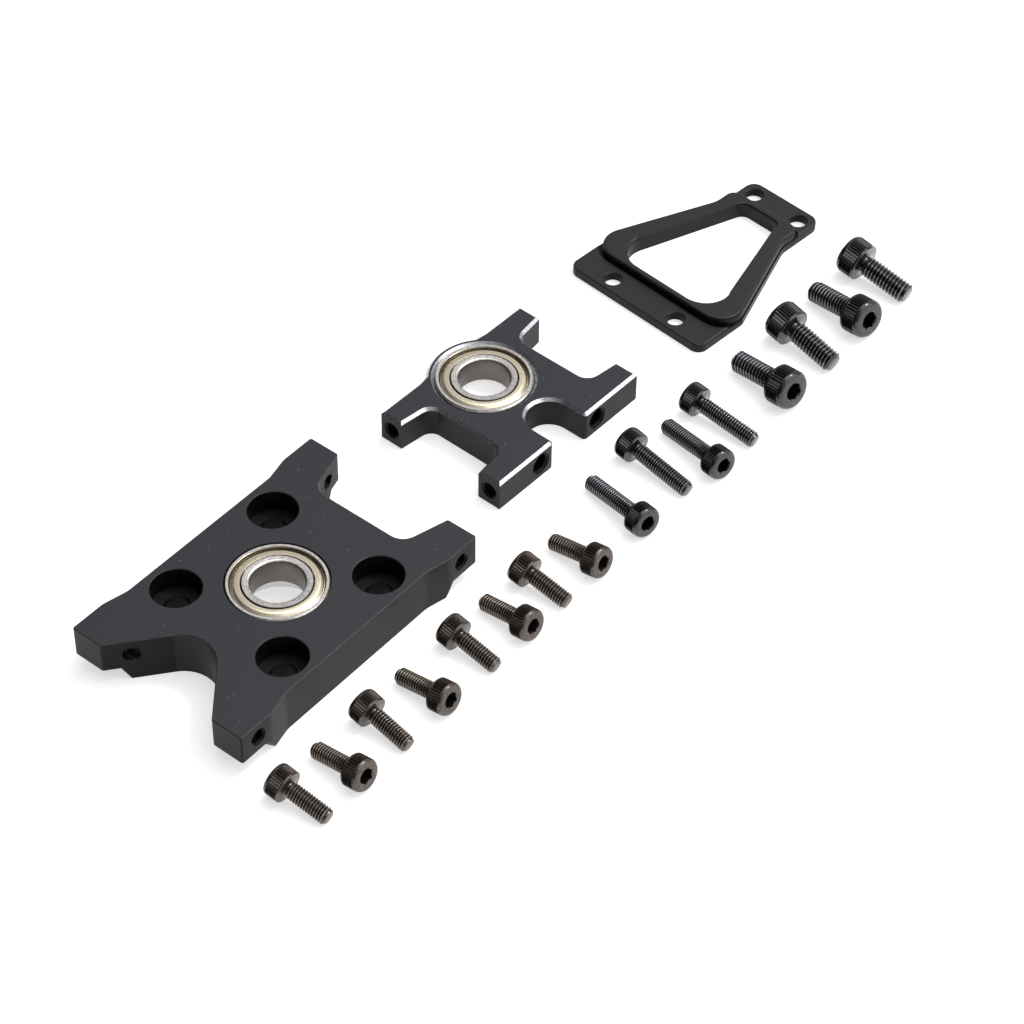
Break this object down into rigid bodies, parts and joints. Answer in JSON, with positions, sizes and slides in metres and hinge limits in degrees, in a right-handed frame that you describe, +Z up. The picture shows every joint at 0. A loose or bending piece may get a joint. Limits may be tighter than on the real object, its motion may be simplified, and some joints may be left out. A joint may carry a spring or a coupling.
{
  "type": "shaft bearing block kit",
  "caption": "Kit laid flat: two black anodised shaft bearing blocks with shielded ball bearings, a windowed brace plate and loose knurled socket cap screws.",
  "frame": {"origin": "centre of the whole laid-out kit's box in plan, on the surface that it lies on", "axes": "+Y along the row of pieces, from the lower bearing block to the brace plate; +X across the row, towards the screws; +Z up, along both bearings' axes"},
  "size_m": [0.0544, 0.1668, 0.0086],
  "materials": {
    "anodised_block": "fine bead-blasted black anodise, bare metal on the upper block's chamfers",
    "anodised_plate": "soft satin black anodise",
    "bearing_steel": "ground and lapped",
    "ball_steel": "polished",
    "cage_steel": "pressed",
    "shield_steel": "pale champagne plated, pressed",
    "snap_ring_steel": "drawn spring wire",
    "matt_screw_steel": "matt black oxide, knurled head, rolled thread",
    "gloss_screw_steel": "glossy oiled black oxide, knurled head, rolled thread"
  },
  "bodies": {
    "lower_block": {"lower_block": "anodised_block", "lower_bearing_outer_ring": "bearing_steel", "lower_bearing_top_shield": "shield_steel", "lower_bearing_bottom_shield": "shield_steel", "lower_bearing_top_snap_ring": "snap_ring_steel", "lower_bearing_bottom_snap_ring": "snap_ring_steel"},
    "lower_inner_ring": {"lower_bearing_inner_ring": "bearing_steel"},
    "lower_cage": {"lower_bearing_cage": "cage_steel", "lower_bearing_ball_01": "ball_steel", "lower_bearing_ball_02": "ball_steel", "lower_bearing_ball_03": "ball_steel", "lower_bearing_ball_04": "ball_steel", "lower_bearing_ball_05": "ball_steel", "lower_bearing_ball_06": "ball_steel", "lower_bearing_ball_07": "ball_steel", "lower_bearing_ball_08": "ball_steel", "lower_bearing_ball_09": "ball_steel", "lower_bearing_ball_10": "ball_steel"},
    "upper_block": {"upper_block": "anodised_block", "upper_bearing_outer_ring": "bearing_steel", "upper_bearing_top_shield": "shield_steel", "upper_bearing_bottom_shield": "shield_steel", "upper_bearing_top_snap_ring": "snap_ring_steel", "upper_bearing_bottom_snap_ring": "snap_ring_steel"},
    "upper_inner_ring": {"upper_bearing_inner_ring": "bearing_steel"},
    "upper_cage": {"upper_bearing_cage": "cage_steel", "upper_bearing_ball_01": "ball_steel", "upper_bearing_ball_02": "ball_steel", "upper_bearing_ball_03": "ball_steel", "upper_bearing_ball_04": "ball_steel", "upper_bearing_ball_05": "ball_steel", "upper_bearing_ball_06": "ball_steel", "upper_bearing_ball_07": "ball_steel", "upper_bearing_ball_08": "ball_steel", "upper_bearing_ball_09": "ball_steel", "upper_bearing_ball_10": "ball_steel"},
    "brace_plate": {"brace_plate": "anodised_plate"},
    "short_screw_1": {"short_screw_1": "matt_screw_steel"},
    "short_screw_2": {"short_screw_2": "matt_screw_steel"},
    "short_screw_3": {"short_screw_3": "matt_screw_steel"},
    "short_screw_4": {"short_screw_4": "matt_screw_steel"},
    "short_screw_5": {"short_screw_5": "matt_screw_steel"},
    "short_screw_6": {"short_screw_6": "matt_screw_steel"},
    "short_screw_7": {"short_screw_7": "matt_screw_steel"},
    "short_screw_8": {"short_screw_8": "matt_screw_steel"},
    "long_screw_1": {"long_screw_1": "gloss_screw_steel"},
    "long_screw_2": {"long_screw_2": "gloss_screw_steel"},
    "long_screw_3": {"long_screw_3": "gloss_screw_steel"},
    "long_screw_4": {"long_screw_4": "gloss_screw_steel"},
    "large_screw_1": {"large_screw_1": "gloss_screw_steel"},
    "large_screw_2": {"large_screw_2": "gloss_screw_steel"},
    "large_screw_3": {"large_screw_3": "gloss_screw_steel"},
    "large_screw_4": {"large_screw_4": "gloss_screw_steel"}
  },
  "joints": [
    {"name": "lower_shaft_spin", "type": "hinge", "parent": "lower_block", "child": "lower_inner_ring", "pos_m": [-0.00927, -0.05352, 0.0061], "axis": [0, 0, 1], "continuous": true},
    {"name": "lower_cage_orbit", "type": "hinge", "parent": "lower_block", "child": "lower_cage", "pos_m": [-0.00927, -0.05352, 0.0061], "axis": [0, 0, 1], "continuous": true},
    {"name": "upper_block_lift", "type": "slide", "parent": "lower_block", "child": "upper_block", "axis": [0, 0, 1], "range_m": [0, 0.03]},
    {"name": "upper_shaft_spin", "type": "hinge", "parent": "upper_block", "child": "upper_inner_ring", "pos_m": [-0.01627, 0.00658, 0.0035], "axis": [0, 0, 1], "continuous": true},
    {"name": "upper_cage_orbit", "type": "hinge", "parent": "upper_block", "child": "upper_cage", "pos_m": [-0.01627, 0.00658, 0.0035], "axis": [0, 0, 1], "continuous": true},
    {"name": "brace_plate_lift", "type": "slide", "parent": "lower_block", "child": "brace_plate", "axis": [0, 0, 1], "range_m": [0, 0.03]},
    {"name": "short_screw_1_lift", "type": "slide", "parent": "lower_block", "child": "short_screw_1", "axis": [0, 0, 1], "range_m": [0, 0.03]},
    {"name": "short_screw_2_lift", "type": "slide", "parent": "lower_block", "child": "short_screw_2", "axis": [0, 0, 1], "range_m": [0, 0.03]},
    {"name": "short_screw_3_lift", "type": "slide", "parent": "lower_block", "child": "short_screw_3", "axis": [0, 0, 1], "range_m": [0, 0.03]},
    {"name": "short_screw_4_lift", "type": "slide", "parent": "lower_block", "child": "short_screw_4", "axis": [0, 0, 1], "range_m": [0, 0.03]},
    {"name": "short_screw_5_lift", "type": "slide", "parent": "lower_block", "child": "short_screw_5", "axis": [0, 0, 1], "range_m": [0, 0.03]},
    {"name": "short_screw_6_lift", "type": "slide", "parent": "lower_block", "child": "short_screw_6", "axis": [0, 0, 1], "range_m": [0, 0.03]},
    {"name": "short_screw_7_lift", "type": "slide", "parent": "lower_block", "child": "short_screw_7", "axis": [0, 0, 1], "range_m": [0, 0.03]},
    {"name": "short_screw_8_lift", "type": "slide", "parent": "lower_block", "child": "short_screw_8", "axis": [0, 0, 1], "range_m": [0, 0.03]},
    {"name": "long_screw_1_lift", "type": "slide", "parent": "lower_block", "child": "long_screw_1", "axis": [0, 0, 1], "range_m": [0, 0.03]},
    {"name": "long_screw_2_lift", "type": "slide", "parent": "lower_block", "child": "long_screw_2", "axis": [0, 0, 1], "range_m": [0, 0.03]},
    {"name": "long_screw_3_lift", "type": "slide", "parent": "lower_block", "child": "long_screw_3", "axis": [0, 0, 1], "range_m": [0, 0.03]},
    {"name": "long_screw_4_lift", "type": "slide", "parent": "lower_block", "child": "long_screw_4", "axis": [0, 0, 1], "range_m": [0, 0.03]},
    {"name": "large_screw_1_lift", "type": "slide", "parent": "lower_block", "child": "large_screw_1", "axis": [0, 0, 1], "range_m": [0, 0.03]},
    {"name": "large_screw_2_lift", "type": "slide", "parent": "lower_block", "child": "large_screw_2", "axis": [0, 0, 1], "range_m": [0, 0.03]},
    {"name": "large_screw_3_lift", "type": "slide", "parent": "lower_block", "child": "large_screw_3", "axis": [0, 0, 1], "range_m": [0, 0.03]},
    {"name": "large_screw_4_lift", "type": "slide", "parent": "lower_block", "child": "large_screw_4", "axis": [0, 0, 1], "range_m": [0, 0.03]}
  ],
  "couplings": [
    {"joint": "lower_cage_orbit", "follows": "lower_shaft_spin", "ratio": 0.4148},
    {"joint": "upper_cage_orbit", "follows": "upper_shaft_spin", "ratio": 0.4148}
  ]
}
